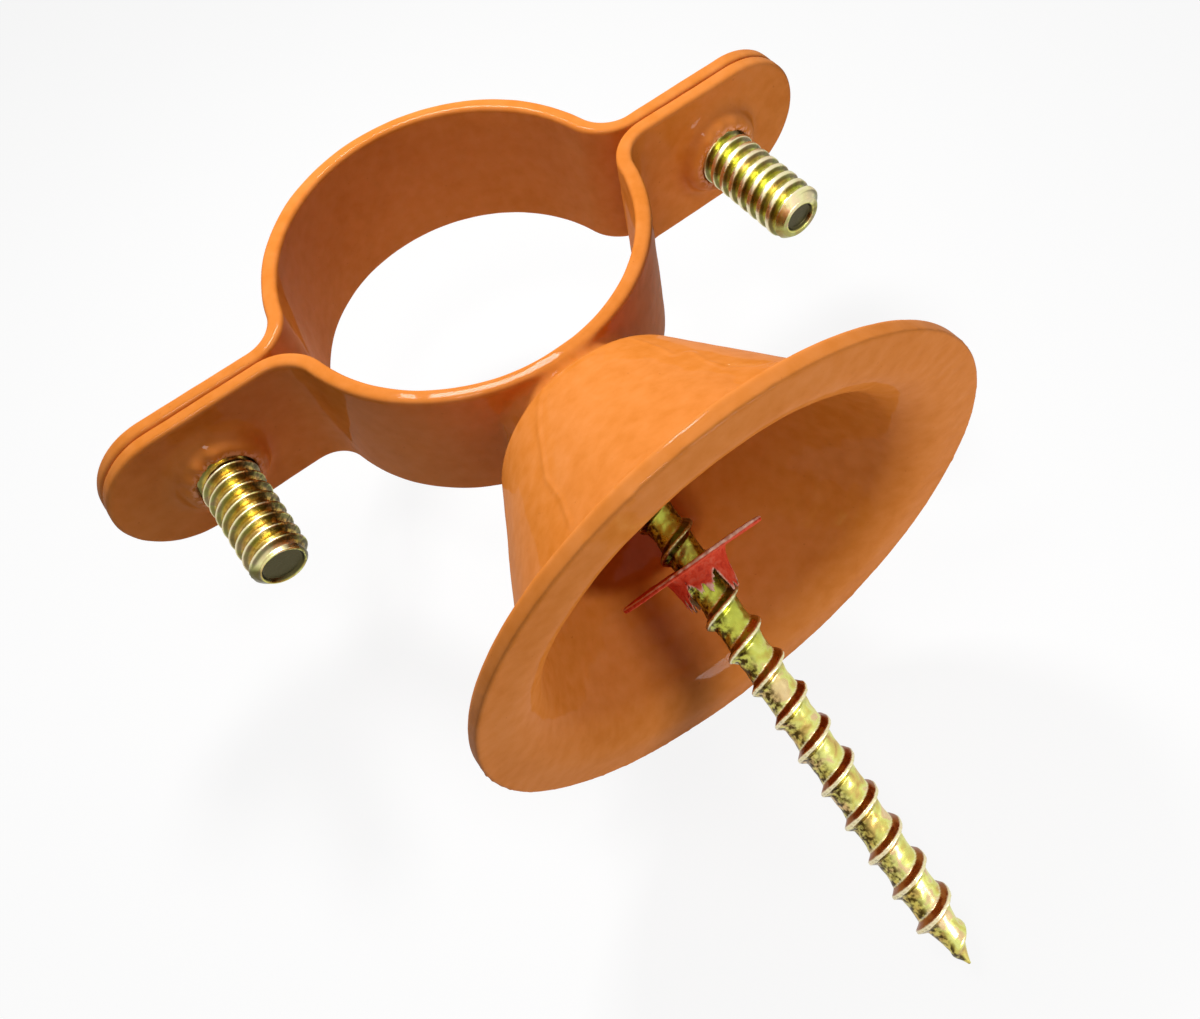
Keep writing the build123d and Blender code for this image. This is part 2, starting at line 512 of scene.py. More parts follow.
def attribute(tree, name):
    """A value that the mesh carries at its points, or 0 if it has none of that name."""
    return add(tree, "Attribute", attribute_name=name).outputs["Fac"]


def bumped(tree, shader, height, depth):
    """Fine relief of a depth in millimetres."""
    made = add(tree, "Bump", {"Height": height, "Distance": depth * MM})
    tree.links.new(made.outputs[0], shader.inputs["Normal"])


def new_look(name):
    """A material with its tree and its shader."""
    look = bpy.data.materials.new(name)
    look.use_nodes = True
    return look, look.node_tree, look.node_tree.nodes["Principled BSDF"]


# Linear colours. The enamel's: three of its coat, the specks in it and what shows where it is worn
PAINT_DEEP = (0.55, 0.164, 0.020)
PAINT_BODY = (0.60, 0.190, 0.032)
PAINT_PALE = (0.64, 0.216, 0.048)
PAINT_DUST = (0.34, 0.082, 0.008)
PAINT_WORN = (0.78, 0.36, 0.20)

paint, tree, shader = new_look("copper_enamel")
place = millimetres(tree)
patches = noise(tree, place, 0.11, 3)
mottle = noise(tree, place, 0.9, 5)
tone = mean(tree, patches, mottle)
coat_colour = graded(tree, tone, [(0.34, PAINT_DEEP), (0.5, PAINT_BODY), (0.68, PAINT_PALE)])
specks = within(tree, noise(tree, place, 2.6, 2), 0.72, 0.79)
coat_colour = mixed(tree, between(tree, specks, 0, 0.45), coat_colour, PAINT_DUST)
flecks = within(tree, noise(tree, place, 3.2, 4), 0.44, 0.54)
worn = times(tree, attribute(tree, "worn"), flecks)
coat_colour = mixed(tree, worn, coat_colour, PAINT_WORN)
tree.links.new(coat_colour, shader.inputs["Base Color"])
tree.links.new(between(tree, mottle, 0.34, 0.46), shader.inputs["Roughness"])
shader.inputs["Coat Weight"].default_value = 0.12
shader.inputs["Coat Roughness"].default_value = 0.06
shader.inputs["Specular IOR Level"].default_value = 0
bumped(tree, shader, noise(tree, place, 1.3, 4), 0.012)

# The plate's: its rainbow film, its flank and root tints, and its painted shade and painted highlight
ZINC_STOPS = [
    (0.28, (0.40, 0.27, 0.060)),
    (0.38, (0.62, 0.44, 0.130)),
    (0.46, (0.66, 0.62, 0.150)),
    (0.53, (0.74, 0.76, 0.240)),
    (0.60, (0.74, 0.52, 0.260)),
    (0.75, (0.80, 0.62, 0.340)),
]
ZINC_FLANK = (0.27, 0.085, 0.016)
ZINC_AMBER = (0.46, 0.25, 0.030)
ZINC_OLIVE = (0.46, 0.50, 0.055)
ZINC_SHADE = (0.060, 0.036, 0.006)
ZINC_HIGHLIGHT = (0.86, 0.77, 0.50)
ZINC_DEEP_SHADE = (0.070, 0.060, 0.024)

zinc, tree, shader = new_look("yellow_zinc_plate")
place = millimetres(tree)
film = noise(tree, place, 0.55, 4, 0.6)
zinc_mottle = noise(tree, place, 2.6, 6)
plated = graded(tree, film, ZINC_STOPS)
for name, colour in (("amber", ZINC_AMBER), ("olive", ZINC_OLIVE)):
    plated = mixed(tree, attribute(tree, name), plated, colour)
# Painted shade: a mottled dark brown laid where the screws are painted darker
mottled_shade_share = times(tree, attribute(tree, "mottled_shade"), within(tree, zinc_mottle, 0.40, 0.58))
plated = mixed(tree, mottled_shade_share, plated, ZINC_SHADE)
# Painted highlight and painted shade: the crest attribute carries pale painted highlights and the end
# attribute dark painted shade
for name, colour in (("flank", ZINC_FLANK), ("crest", ZINC_HIGHLIGHT), ("end", ZINC_DEEP_SHADE)):
    plated = mixed(tree, attribute(tree, name), plated, colour)
tree.links.new(plated, shader.inputs["Base Color"])
shader.inputs["Metallic"].default_value = 1
tree.links.new(between(tree, zinc_mottle, 0.16, 0.46), shader.inputs["Roughness"])
bumped(tree, shader, noise(tree, place, 4.0, 5), 0.012)

# The fibre's: its face, from dark to worn, and its torn edges
FIBRE_RED = (0.64, 0.062, 0.022)
FIBRE_DARK = (0.46, 0.030, 0.012)
FIBRE_WORN = (0.66, 0.15, 0.085)
FIBRE_TORN = (0.80, 0.56, 0.44)

fibre, tree, shader = new_look("vulcanised_fibre")
place = millimetres(tree)
grain = noise(tree, place, 2.4, 6, 0.8)
fibre_colour = graded(tree, grain, [(0.25, FIBRE_DARK), (0.5, FIBRE_RED), (0.85, FIBRE_WORN)])
torn = times(tree, attribute(tree, "torn"), between(tree, grain, 0.55, 1.25), clamped=True)
tree.links.new(mixed(tree, torn, fibre_colour, FIBRE_TORN), shader.inputs["Base Color"])
tree.links.new(between(tree, grain, 0.55, 0.85), shader.inputs["Roughness"])
shader.inputs["Specular IOR Level"].default_value = 0.12
bumped(tree, shader, noise(tree, place, 6.0, 5), 0.03)


def strip(x, y, z):
    """The bent strip of a clamp half on the +Y side of the seam, round the pipe's axis."""
    side = np.abs(x)
    angle = np.arctan2(y, side)
    far = np.float32(1e3)
    ring = np.where(angle >= LIFT_OFF, np.abs(np.hypot(side, y) - RING_MIDDLE), far)
    in_bend = (side < BEND_X) & (angle < LIFT_OFF)
    bend = np.where(in_bend, np.abs(np.hypot(side - BEND_X, y - BEND_Y) - BEND_MIDDLE), far)
    ear = np.hypot(np.maximum(BEND_X - side, 0), y - SHEET / 2)
    across = np.minimum(np.minimum(ring, bend), ear) - SHEET / 2 + STRIP_ROUNDING
    wide = np.hypot(np.maximum(side - EAR_CENTRE, 0), z) - BAND_WIDTH / 2 + STRIP_ROUNDING
    outside = np.hypot(np.maximum(across, 0), np.maximum(wide, 0))
    return outside + np.minimum(np.maximum(across, wide), 0) - STRIP_ROUNDING


def rear_half(x, y, z):
    """The wall side's half: the strip with two tapped collars and the bell's drawn seat."""
    out = np.hypot(np.abs(x) - CLAMP_SCREW_X, z)
    turn = np.arctan2(z, np.abs(x) - CLAMP_SCREW_X)
    ragged = ripples(turn + np.where(x > 0, 0.0, LEFT_LIP_TURN), seed=5, count=7, highest=19)
    top = SHEET + COLLAR_HEIGHT + LIP_UNEVENNESS * ragged
    mound = out - COLLAR_RADIUS - COLLAR_DRAFT * (top - y)
    collar = common(mound, y - top, COLLAR_ROUNDING)
    collar = np.maximum(collar, SHEET / 2 - y)
    made = joined(strip(x, y, z), collar, COLLAR_FILLET)
    seat_out = np.hypot(x, z)
    flare = SEAT_FLARE * np.clip(y - CROWN_Y + SEAT_FLARE_HEIGHT, 0, SEAT_FLARE_HEIGHT) ** 2
    seat_ends = np.maximum(y - CROWN_Y + SEAT_GAP, PIPE_RADIUS + SHEET / 2 - y)
    made = joined(made, np.maximum(seat_out - SEAT_RADIUS - flare, seat_ends), SEAT_FILLET)
    chips = CHIP_DEPTH * np.maximum(ragged - CHIPPED_FROM, 0) * ramp(y, CHIPPED_ABOVE, SHEET + COLLAR_HEIGHT)
    made = cut(made, out - CLAMP_SCREW_RADIUS - COLLAR_GAP - chips, LIP_ROUNDING)
    return cut(made, np.maximum(seat_out - SEAT_BORE_RADIUS, -y), SEAT_ROUNDING)


def front_half(x, y, z):
    """The room side's half: the strip with a plain hole in each ear."""
    hole = np.hypot(np.abs(x) - CLAMP_SCREW_X, z) - CLAMP_SCREW_RADIUS - FRONT_HOLE_GAP
    return cut(strip(x, -y, z), hole, HOLE_ROUNDING)


# The height and the length of the slow waves in thick paint
PAINT_WAVES = ((0.016, 6.5), (0.006, 2.2))


def enamelled(points, normals, seed):
    """Points of a painted surface with the slow unevenness of thick paint."""
    height = sum(high * waves(points, seed + i, length) for i, (high, length) in enumerate(PAINT_WAVES))
    return points + normals * height[:, None]


RING_PLACE = np.array((0, -RING_TO_WALL, 0))
half_low = np.array((-EAR_REACH - MARGIN, -MARGIN, -BAND_WIDTH / 2 - MARGIN))
half_high = np.array((EAR_REACH + MARGIN, CROWN_Y + MARGIN, BAND_WIDTH / 2 + MARGIN))
points, faces, normals = surface_net(rear_half, half_low, half_high, CLAMP_CELL)
from_hole = np.hypot(np.abs(points[:, 0]) - CLAMP_SCREW_X, points[:, 2]) - CLAMP_SCREW_RADIUS
worn = ramp(points[:, 1], *WORN_HEIGHT) * (1 - ramp(from_hole, *WORN_REACH))
points = enamelled(points, normals, seed=11) + RING_PLACE
piece("rear_half_painted", points, faces, paint, "hanger", "rear_clamp_half", {"worn": worn})

front_low = half_low * (1, 0, 1) - (0, PIPE_RADIUS + SHEET + MARGIN, 0)
front_high = half_high * (1, 0, 1) + (0, MARGIN, 0)
points, faces, normals = surface_net(front_half, front_low, front_high, CLAMP_CELL)
points = enamelled(points, normals, seed=21) + RING_PLACE
piece("front_half_painted", points, faces, paint, "strap", "front_clamp_half")


def filleted(corners, radii, spacing):
    """A closed line through corners, each rounded with its radius, sampled at about the spacing."""
    arcs = []
    for before, here, after, radius in zip(np.roll(corners, 1, 0), corners, np.roll(corners, -1, 0), radii):
        back = (before - here) / np.linalg.norm(before - here)
        ahead = (after - here) / np.linalg.norm(after - here)
        angle = math.acos(float(back @ ahead))
        reach = radius / math.tan(angle / 2)
        centre = here + (back + ahead) / np.linalg.norm(back + ahead) * radius / math.sin(angle / 2)
        first, last = here + back * reach - centre, here + ahead * reach - centre
        start = math.atan2(first[1], first[0])
        sweep = swing(math.atan2(last[1], last[0]), start)
        steps = max(4, int(abs(sweep) * radius / spacing))
        turns = np.linspace(start, start + sweep, steps + 1)
        arcs.append([centre + radius * np.array((math.cos(t), math.sin(t))) for t in turns])
    line = []
    for arc, following in zip(arcs, arcs[1:] + arcs[:1]):
        line.extend(arc)
        straight = following[0] - arc[-1]
        steps = int(np.linalg.norm(straight) / spacing)
        line.extend(arc[-1] + straight * k / steps for k in range(1, steps))
    return np.array(line)


def offset_corners(corners, amount):
    """The corners of an open line moved to its left by an amount."""
    ways = np.diff(corners, axis=0)
    ways /= np.linalg.norm(ways, axis=1)[:, None]
    lefts = np.stack([-ways[:, 1], ways[:, 0]], 1)
    moved = [corners[0] + lefts[0] * amount]
    for i in range(1, len(corners) - 1):
        middle = lefts[i - 1] + lefts[i]
        moved.append(corners[i] + middle * amount / (1 + lefts[i - 1] @ lefts[i]))
    moved.append(corners[-1] + lefts[-1] * amount)
    return np.array(moved)


# The bell's section, as (distance from its axis, y), and the radius at each corner: the side that faces
# the room from the well to the rim, then the other side back
well_depth = WELL_MOUTH_RADIUS - WELL_HOLE_RADIUS
flare_radius = CROWN_RADIUS + (BELL_HEIGHT - SHEET) * math.tan(math.radians(WALL_SLOPE))
outer_corners = np.array([
    (WELL_HOLE_RADIUS, -BELL_HEIGHT + well_depth),
    (WELL_MOUTH_RADIUS, -BELL_HEIGHT),
    (CROWN_RADIUS, -BELL_HEIGHT),
    (flare_radius, -SHEET),
    (RIM_RADIUS, -SHEET),
])
outer_radii = [WELL_ROUNDING, WELL_BEND, SHOULDER_BEND, FLARE_BEND, RIM_BACK_ROUNDING]
inner_corners = offset_corners(outer_corners, SHEET)
inner_radii = [WELL_ROUNDING, WELL_INNER_BEND, SHOULDER_BEND - SHEET, FLARE_BEND + SHEET, RIM_FRONT_ROUNDING]
corners = np.concatenate([outer_corners, inner_corners[::-1]])
section = filleted(corners, outer_radii + inner_radii[::-1], SECTION_SPACING)

turns = np.arange(COLUMNS) * 2 * math.pi / COLUMNS


def revolved(radial, axial):
    """Points or directions all round the bell's axis, from their radial and axial parts."""
    radial, axial = radial[:, None], np.repeat(axial[:, None], COLUMNS, 1)
    return np.stack([radial * np.cos(turns), axial, radial * np.sin(turns)], 2).reshape(-1, 3)


points = revolved(*section.T)
tangent = np.roll(section, -1, 0) - np.roll(section, 1, 0)
tangent /= np.linalg.norm(tangent, axis=1)[:, None]
normals = revolved(tangent[:, 1], -tangent[:, 0])
row, column = np.meshgrid(np.arange(len(section)), np.arange(COLUMNS), indexing="ij")
next_row, next_column = (row + 1) % len(section), (column + 1) % COLUMNS
corners = [(row, column), (next_row, column), (next_row, next_column), (row, next_column)]
faces = np.stack([r * COLUMNS + c for r, c in corners], 2).reshape(-1, 4)

# Runs in the bell's paint, as (degrees round from +X towards +Z, height from the wall) along each
PAINT_RUNS = [
    [(68, -17.2), (63, -16.4), (58, -14.6), (54.5, -11.6), (53, -9.9), (55.4, -7.3), (55, -5.0)],
    [(116, -16.3), (114, -13.5), (111, -11.6), (117, -11.2)]
    + [(113, -9.2), (112, -7.3), (117, -6.0), (128, -5.8)],
    [(64, -2.9), (66, -3.5), (69, -4.2), (74, -4.2), (78, -4.3), (84, -3.7)],
    [(20, -13.5), (16, -10.2), (18, -7.4), (12, -4.6)],
    [(232, -15.0), (238, -11.4), (233, -8.6), (236, -5.2)],
    [(300, -12.8), (296, -9.0), (301, -6.4)],
]
RUN_HEIGHT = 0.05
RUN_WIDTH = 0.22
RUNS_BELOW = -2.0

# Distances from the bell's axis and from its rim's corner between which the rim's relief comes and goes,
# and the side, in degrees, where its hollow flange is fluted
FLANGE_BAND = (17.4, 18.6, 20.2, 20.8)
CORNER_BAND = (0.15, 0.45)
FLUTED_SIDE = 150
FLUTE_SHARE = 0.6

angle = np.degrees(np.arctan2(points[:, 2], points[:, 0])) % 360
around = np.hypot(points[:, 0], points[:, 2])
outside_wall = (normals[:, 1] < 0.3) & (points[:, 1] < RUNS_BELOW)
rise = np.zeros(len(points))
slant = math.cos(math.radians(WALL_SLOPE))
for run in PAINT_RUNS:
    nearest = np.full(len(points), 99.0)
    for (a, ya), (b, yb) in zip(run, run[1:]):
        px = np.radians(angle - a) * around
        py = (points[:, 1] - ya) / slant
        qx = np.radians(b - a) * around
        qy = (yb - ya) / slant
        share = np.clip((px * qx + py * qy) / (qx * qx + qy * qy), 0, 1)
        nearest = np.minimum(nearest, np.hypot(px - share * qx, py - share * qy))
    rise = np.maximum(rise, RUN_HEIGHT * np.exp(-((nearest / RUN_WIDTH) ** 2)))
rise = np.where(outside_wall, rise, 0)
flange = window(around, *FLANGE_BAND) * (normals[:, 1] > 0.5)
flutes = ripples(np.radians(angle), seed=8, count=9, highest=120)
flutes = flutes * ramp(np.cos(np.radians(angle - FLUTED_SIDE)), 0.1, 0.9)
rise = rise - FLANGE_HOLLOW * flange * (1 + FLUTE_SHARE * flutes)
rim_corner = 1 - ramp(np.hypot(around - RIM_RADIUS, points[:, 1]), *CORNER_BAND)
rise = rise + RIM_RELIEF * rim_corner * np.maximum(waves(points, seed=33, length=0.9) - 0.2, 0)
points = enamelled(points, normals, seed=31) + normals * rise[:, None]
piece("bell_painted", points, faces, paint, "hanger", "bell")

# A thread's field changes faster than distance does along its steep flanks, so it is scaled down
CLAMP_THREAD_SCALE = 0.5
WOOD_THREAD_SCALE = 0.55


def clamp_offset(x, y, z, start):
    """The distance along a machine screw from the nearest crest, from minus to plus half a pitch."""
    turn = np.arctan2(x, z) / (2 * math.pi)
    return ((y / CLAMP_PITCH - turn - start + 0.5) % 1 - 0.5) * CLAMP_PITCH


def clamp_screw(x, y, z, start, width, dish):
    """A machine screw along +Y: slotted round head, a coarse thread and a chamfered, dished end."""
    out = np.hypot(x, z)
    flank = np.clip((np.abs(clamp_offset(x, y, z, start)) - width / 2) / CLAMP_FLANK, 0, 1)
    thread = CLAMP_SCREW_RADIUS - CLAMP_THREAD_DEPTH * (1 - (1 - flank) ** FLANK_HOLLOW)
    shank = (out - thread) * CLAMP_THREAD_SCALE
    end = CLAMP_SCREW_PROUD - END_DISH_DEPTH * ramp(-out, -dish, END_DISH_SLOPE - dish)
    shank = np.maximum(shank, y - end)
    chamfer = out + y - CLAMP_SCREW_PROUD - CLAMP_SCREW_RADIUS + CLAMP_END_CHAMFER
    shank = np.maximum(shank, chamfer * math.sqrt(0.5))
    shank = np.maximum(shank, -SHEET - IN_HEAD - y)
    rise = CLAMP_HEAD_HEIGHT - CLAMP_HEAD_SKIRT
    dome = (CLAMP_HEAD_RADIUS**2 + rise**2) / (2 * rise)
    top = -SHEET - CLAMP_HEAD_HEIGHT
    cap = np.sqrt(out**2 + (y - top - dome) ** 2) - dome
    head = common(cap, out - CLAMP_HEAD_RADIUS, CLAMP_HEAD_ROUNDING)
    head = common(head, y + SHEET, CLAMP_HEAD_FOOT_ROUNDING)
    groove = np.maximum(np.abs(z) - SLOT_WIDTH / 2, y - top - SLOT_DEPTH)
    return np.minimum(shank, cut(head, groove, SLOT_ROUNDING))


def crest_highlight_share(out, radius):
    """How much painted highlight a thread's crest gets, from a place's distance off the screw's axis."""
    return ramp(out, radius - 0.10, radius - 0.03)


SCREW_MARGIN = 0.2
screw_reach = CLAMP_HEAD_RADIUS + SCREW_MARGIN
screw_low = (-screw_reach, -SHEET - CLAMP_HEAD_HEIGHT - SCREW_MARGIN, -screw_reach)
screw_high = (screw_reach, CLAMP_SCREW_PROUD + SCREW_MARGIN, screw_reach)

# Side, where the thread starts in turns, its crest's width, the dished end's radius, how amber and
# olive its roots are, how strong its painted highlight on the crests is, and how dark its painted shade
# on one side is
MACHINE_SCREWS = {
    "left": (-1, 0.2, 0.36, 1.35, 0.1, 0.6, 0.95, 0.5),
    "right": (1, 0.01, 0.14, 1.74, 0.8, 0.0, 0.8, 0.9),
}
# Painted light on the machine screws: the side painted darker as shade and the side of the end's chamfer
# painted pale as a highlight, then the painted shade in the roots and under each crest, and the end's
# painted highlight
PAINTED_SHADE_SIDE = math.radians(168)
PAINTED_HIGHLIGHT_SIDE = math.radians(95)
ROOT_SHADE = 0.35
UNDER_CREST_SHADE = 0.8
END_SHINE = 0.6

# The shares in this loop and further down say where a screw gets a tint, a painted highlight or a painted
# shade. The numbers in a ramp or a window are where such a share starts and where it is full.
for name, (side, start, width, dish, amber, olive, crest_highlight, side_shade) in MACHINE_SCREWS.items():

    def threaded_screw(x, y, z, start=start, width=width, dish=dish):
        return clamp_screw(x, y, z, start, width, dish)

    points, faces, _ = surface_net(threaded_screw, screw_low, screw_high, CLAMP_SCREW_CELL)
    out = np.hypot(points[:, 0], points[:, 2])
    turn = np.arctan2(points[:, 2], points[:, 0])
    length = points[:, 1]
    from_end = length - CLAMP_SCREW_PROUD
    past_crest = clamp_offset(*points.T, start) - width / 2
    threaded = ramp(length, -SHEET, 0) * (1 - ramp(from_end, -0.5, -0.3))
    crest = threaded * crest_highlight_share(out, CLAMP_SCREW_RADIUS)
    under_crest = threaded * window(past_crest, 0, 0.05, 0.13, 0.23)
    root = threaded * (1 - ramp(out, CLAMP_SCREW_RADIUS - 0.5, CLAMP_SCREW_RADIUS - 0.15))
    # Painted shade in the dished end, under each crest, in the roots and on one side; painted highlight on
    # the crests and on one side of the end's chamfer, with the rest of the chamfer painted dark
    hollow = (from_end > -END_DISH_DEPTH - 0.05) * (1 - ramp(out, dish - 0.12, dish))
    at_end = ramp(from_end, -0.75, -0.55) * ramp(out, dish, dish + 0.1)
    painted_end_highlight = at_end * ramp(np.cos(turn - PAINTED_HIGHLIGHT_SIDE), 0.35, 0.75)
    painted_side_shade = side_shade * ramp(length, 0, 1) * ramp(np.cos(turn - PAINTED_SHADE_SIDE), 0.25, 0.85)
    shaded = np.maximum(hollow, UNDER_CREST_SHADE * under_crest)
    piece(
        "machine_screw_" + name,
        points + RING_PLACE + (side * CLAMP_SCREW_X, 0, 0),
        faces,
        zinc,
        name + "_screw",
        "clamp_screw_" + name,
        {
            "amber": amber * root,
            "olive": olive * root,
            "mottled_shade": np.maximum(ROOT_SHADE * root, painted_side_shade),
            "crest": crest_highlight * np.maximum(crest * (1 - painted_side_shade), END_SHINE * painted_end_highlight),
            "end": np.maximum(shaded, side_shade * (at_end - painted_end_highlight)),
        },
    )

joints = {joint["name"]: joint for joint in frame["joints"]}
pivot = np.array(joints["wood_screw_tilt"]["pos_m"]) / MM
screw_along = np.array(joints["wood_screw_turn"]["axis"])
screw_along /= np.linalg.norm(screw_along)
screw_side = np.array(joints["wood_screw_tilt"]["axis"])
screw_side /= np.linalg.norm(screw_side)
screw_up = np.cross(screw_along, screw_side)


def from_screw(points):
    """Points in the wood screw's own axes, its length third, moved to where it lies."""
    return pivot + points @ np.stack([screw_side, screw_up, screw_along])


# Where a crest crosses the side of the screw that its tilt joint's axis points to: the photo has a crest at
# 17.69 mm, 15.3 degrees round from there
THREAD_ZERO = 17.69 - SCREW_PITCH * 15.3 / 360


def thread_offset(a, b, u):
    """The distance along the screw from the nearest crest, from minus to plus half a pitch."""
    turn = np.arctan2(b, a) / (2 * math.pi)
    return ((u - THREAD_ZERO) / SCREW_PITCH - turn + 0.5) % 1 * SCREW_PITCH - SCREW_PITCH / 2


def wood_screw(a, b, u):
    """A countersunk wood screw: cross recess, plain neck, steep single thread and a gimlet point."""
    out = np.hypot(a, b)
    to_tip = np.maximum(SCREW_TIP - u, 0)
    towards_point = np.clip(1 - to_tip / POINT_TAPER, 0, 1)
    core = POINT_RADIUS + (SCREW_CORE_RADIUS - POINT_RADIUS) * (1 - towards_point**POINT_BULGE)
    neck = NECK_RADIUS - NECK_STEP * ramp(u, NECK_LENGTH, NECK_LENGTH + 1)
    core = np.where(u < NECK_LENGTH + 1, neck, core)
    full = np.minimum(SCREW_CREST_RADIUS, TIP_CREST_RADIUS + TIP_CREST_SLOPE * to_tip)
    full = core + (full - core) * ramp(u, NECK_LENGTH, NECK_LENGTH + THREAD_RUN_IN)
    offset = thread_offset(a, b, u)
    width = np.where(offset < 0, HEAD_FLANK, POINT_FLANK)
    ridge = np.clip(1 - (np.abs(offset) - WOOD_CREST / 2) / width, 0, 1)
    waist = CORE_WAIST * np.cos(2 * math.pi * offset / SCREW_PITCH)
    shaft = (out - core - waist - (full - core - waist) * ridge**RIDGE_HOLLOW) * WOOD_THREAD_SCALE
    shaft = np.maximum(shaft, np.maximum(u - SCREW_TIP, -u))
    edge = HEAD_RIM - HEAD_ABOVE_PIVOT
    cone = (out - HEAD_RADIUS + u - edge) * HEAD_SLANT
    head = common(cone, out - HEAD_RADIUS, HEAD_RIM_ROUNDING)
    head = common(head, -HEAD_ABOVE_PIVOT - u, HEAD_TOP_ROUNDING)
    head = np.maximum(head, u - HEAD_BELOW_PIVOT)
    down = u + HEAD_ABOVE_PIVOT
    shrink = DRIVE_TAPER * down
    long, short = DRIVE_SPAN / 2 - shrink, DRIVE_WIDTH / 2 - shrink * 0.5
    arm = np.maximum(np.abs(a) - long, np.abs(b) - short)
    other = np.maximum(np.abs(b) - long, np.abs(a) - short)
    recess = np.maximum(np.minimum(arm, other), down - DRIVE_DEPTH)
    return cut(joined(shaft, head, HEAD_FILLET), recess, DRIVE_ROUNDING)


# The side of the wood screw that gets a painted shade, and the line near its head that is left with a
# painted highlight, in radians round it from its tilt joint's axis
SHADED_SIDE = 0.3
HIGHLIGHT_LINE_SIDE = math.radians(278)
HIGHLIGHT_LINE_SHARE = 0.8
OLIVE_NEAR_HEAD = 0.85
SHADED_AMBER = 0.35
BARE_FLANK = 0.2
CREST_SHINE = 0.9
FOOT_SHINE = 0.6
DIM_NEAR_HEAD = 0.45
DARK_NEAR_HEAD = 0.75
CENTRE_LINE_DIP = 0.55
THREAD_RELIEF = 0.018

screw_reach = HEAD_RADIUS + SCREW_MARGIN
screw_low = (-screw_reach, -screw_reach, -HEAD_ABOVE_PIVOT - 0.3)
screw_high = (screw_reach, screw_reach, SCREW_TIP + SCREW_MARGIN)
points, faces, normals = surface_net(wood_screw, screw_low, screw_high, WOOD_SCREW_CELL)
out = np.hypot(points[:, 0], points[:, 1])
turn = np.arctan2(points[:, 1], points[:, 0])
offset = thread_offset(*points.T)
length = points[:, 2]
past_washer = length - WASHER_FROM_PIVOT
flank_foot = WOOD_CREST / 2 + HEAD_FLANK
in_thread = window(length, NECK_LENGTH, NECK_LENGTH + 2, SCREW_TIP - 4.2, SCREW_TIP - 2.8)
crest = in_thread * crest_highlight_share(out, SCREW_CREST_RADIUS)
# Painted highlight: the crest, split into two lines by a darker middle, and the foot of each flank are
# painted pale
centre_line = 1 - CENTRE_LINE_DIP * (1 - ramp(np.abs(offset), 0.01, 0.05))
on_flank = window(offset, -flank_foot - 0.02, -flank_foot + 0.06, -WOOD_CREST / 2 - 0.04, -WOOD_CREST / 2)
foot_line = in_thread * (1 - ramp(np.abs(offset + flank_foot + 0.05), 0.03, 0.07))
# Painted shade: one side, the band past each crest and the part near the head are painted darker, with a
# painted highlight line left near the head, and the flanks and crest middles there painted dark
shaded = ramp(np.cos(turn - SHADED_SIDE), -0.05, 0.55)
near_head = 1 - ramp(past_washer, 1, 6)
past_crest = window(offset, 0.2, 0.3, 0.45, 0.9)
painted_highlight_line = ramp(np.cos(turn - HIGHLIGHT_LINE_SIDE), 0.72, 0.93)
mottled_shade = np.clip(shaded + 0.35 * near_head + 0.3 * past_crest, 0, 1)
mottled_shade = np.maximum(mottled_shade, 0.9 * near_head) * (1 - HIGHLIGHT_LINE_SHARE * near_head * painted_highlight_line)
flank = in_thread * on_flank * (BARE_FLANK + (1 - BARE_FLANK) * ramp(past_washer, 2, 13))
bright = np.maximum(CREST_SHINE * crest * centre_line, FOOT_SHINE * foot_line)
dark = in_thread * np.maximum(on_flank, crest * (1 - centre_line))
points = points + normals * (THREAD_RELIEF * waves(points, seed=41, length=0.9) * in_thread)[:, None]
piece(
    "wood_screw_threaded",
    from_screw(points),
    faces,
    zinc,
    "captive_screw",
    "wood_screw",
    {
        "amber": SHADED_AMBER * shaded,
        "olive": OLIVE_NEAR_HEAD * (1 - ramp(past_washer, 4, 13)),
        "mottled_shade": mottled_shade,
        "flank": flank,
        "crest": bright * (1 - DIM_NEAR_HEAD * near_head),
        "end": dark * DARK_NEAR_HEAD * near_head,
    },
)

# The washer's torn middle: where the slits are, in degrees round the screw from its tilt joint's axis, and
# how its petals differ. The petals on the long side reach and rise further, and one is short.
PETAL_GAPS = (25, 88, 142, 200, 258, 317)
LONG_PETAL_SIDE = math.radians(205)
PETAL_ROOT = 2.95
ROOT_SPREAD = 0.3
PETAL_TIP = 2.08
PETAL_RISE = 1.95
RISE_SPREAD = 0.45
SHORT_PETAL_SIDE = math.radians(285)
SHORT_PETAL_HALF = 0.6
SHORT_PETAL_DROP = 0.85
PETAL_CURL = 3.6
SLIT_START = 0.78
SLIT_WIDENING = 2.2
SLIT_ROUNDING = 0.06
FAR_OFF = 9.0


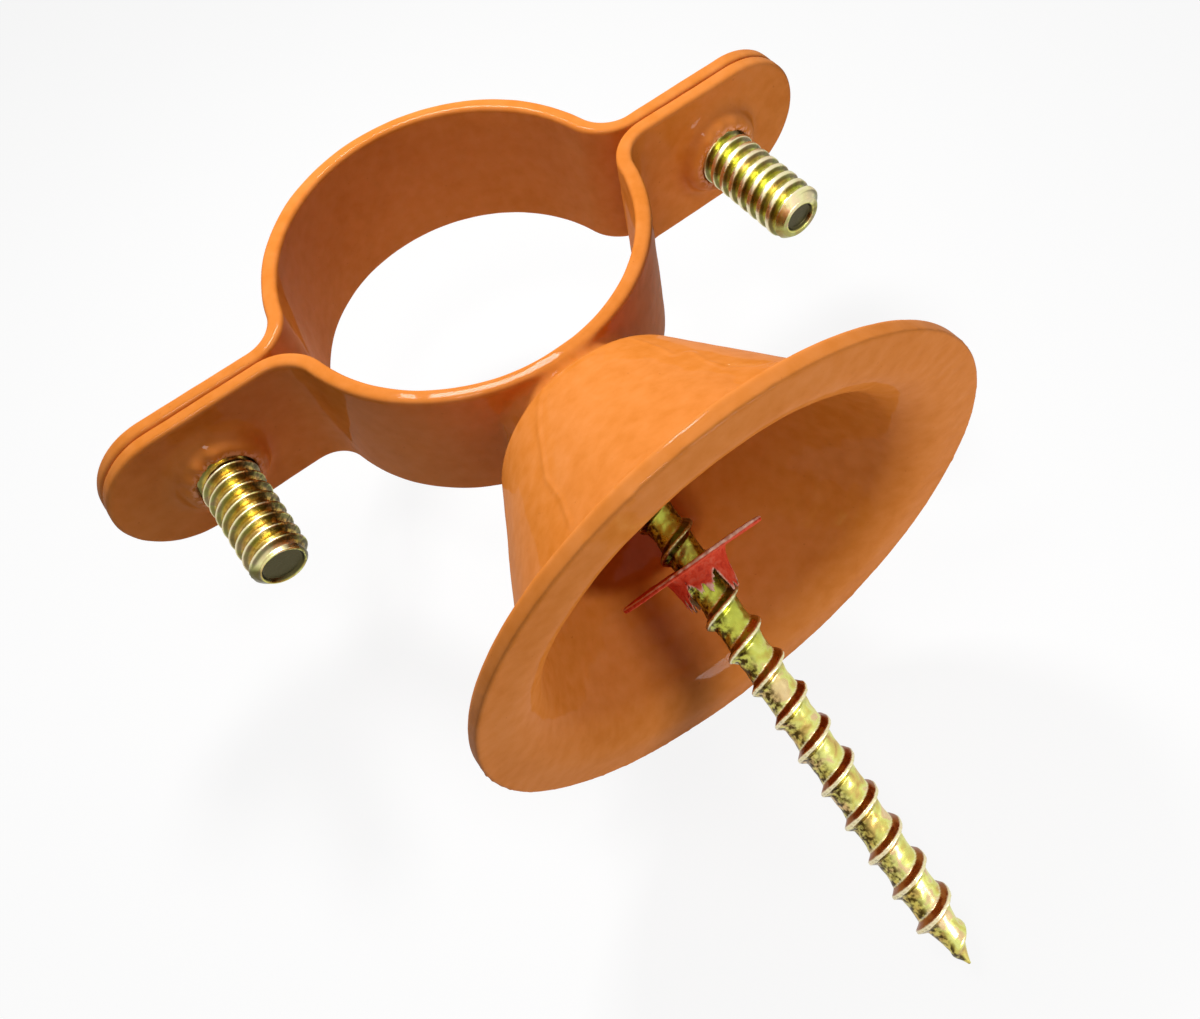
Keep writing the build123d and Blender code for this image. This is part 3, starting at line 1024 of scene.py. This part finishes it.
def petal_field(out, turn):
    """How far up its petal a place is, the petal's rise and reach there, and how far off its slits."""
    lean = np.cos(turn - LONG_PETAL_SIDE)
    root = PETAL_ROOT + ROOT_SPREAD * lean
    share = np.clip((root - out) / (root - PETAL_TIP), 0, 1.2)
    apart = np.full(np.shape(turn), FAR_OFF)
    for centre in PETAL_GAPS:
        away = np.abs(swing(turn, math.radians(centre)))
        slit = SLIT_WIDENING * np.maximum(share - SLIT_START, 0)
        apart = np.minimum(apart, out * np.minimum(away, 1.5) - slit)
    short = np.exp(-((swing(turn, SHORT_PETAL_SIDE) / SHORT_PETAL_HALF) ** 2))
    rise = PETAL_RISE + RISE_SPREAD * lean - SHORT_PETAL_DROP * short
    return share, rise, root - PETAL_TIP, apart


def washer(a, b, u):
    """A thin fibre disc whose middle is torn into petals that the screw has pushed towards its point."""
    out = np.hypot(a, b)
    turn = np.arctan2(b, a)
    warp = WASHER_WARP * np.cos(2 * turn + 0.6) * (out / WASHER_RADIUS) ** 2
    share, rise, across, apart = petal_field(out, turn)
    lift = rise * share**PETAL_CURL
    steep = rise * PETAL_CURL * share ** (PETAL_CURL - 1) / across
    sheet = np.abs(u - warp - lift) / np.sqrt(1 + steep**2) - WASHER_SHEET / 2
    fray = EDGE_FRAY * ripples(turn, seed=3, count=8, highest=70) * np.where(u < warp, 1.0, 0.4)
    disc = common(sheet, out - WASHER_RADIUS - fray, WASHER_ROUNDING)
    inside = PETAL_TIP - 0.03 - out + TEAR_FRAY * ripples(turn, seed=4, count=6, highest=24)
    disc = common(disc, inside, WASHER_ROUNDING)
    return cut(disc, np.maximum(apart, SLIT_START - share), SLIT_ROUNDING)


washer_reach = WASHER_RADIUS + 0.4
washer_low = (-washer_reach, -washer_reach, -0.6)
washer_high = (washer_reach, washer_reach, 3.2)
points, faces, normals = surface_net(washer, washer_low, washer_high, WASHER_CELL)
out = np.hypot(points[:, 0], points[:, 1])
share, _, _, apart = petal_field(out, np.arctan2(points[:, 1], points[:, 0]))
frayed = ramp(out, WASHER_RADIUS - 0.22, WASHER_RADIUS - 0.02) * (1 - ramp(points[:, 2], -0.06, 0.04))
slit_edge = (1 - ramp(apart, 0.1, 0.28)) * ramp(share, SLIT_START - 0.06, SLIT_START + 0.04)
torn = np.maximum(np.maximum(frayed, slit_edge), ramp(share, 0.93, 0.99))
points = points + normals * (WASHER_RELIEF * waves(points, seed=51, length=0.8))[:, None]
piece(
    "washer_torn",
    from_screw(points + (0, 0, WASHER_FROM_PIVOT)),
    faces,
    fibre,
    "captive_washer",
    "retaining_washer",
    {"torn": torn},
)
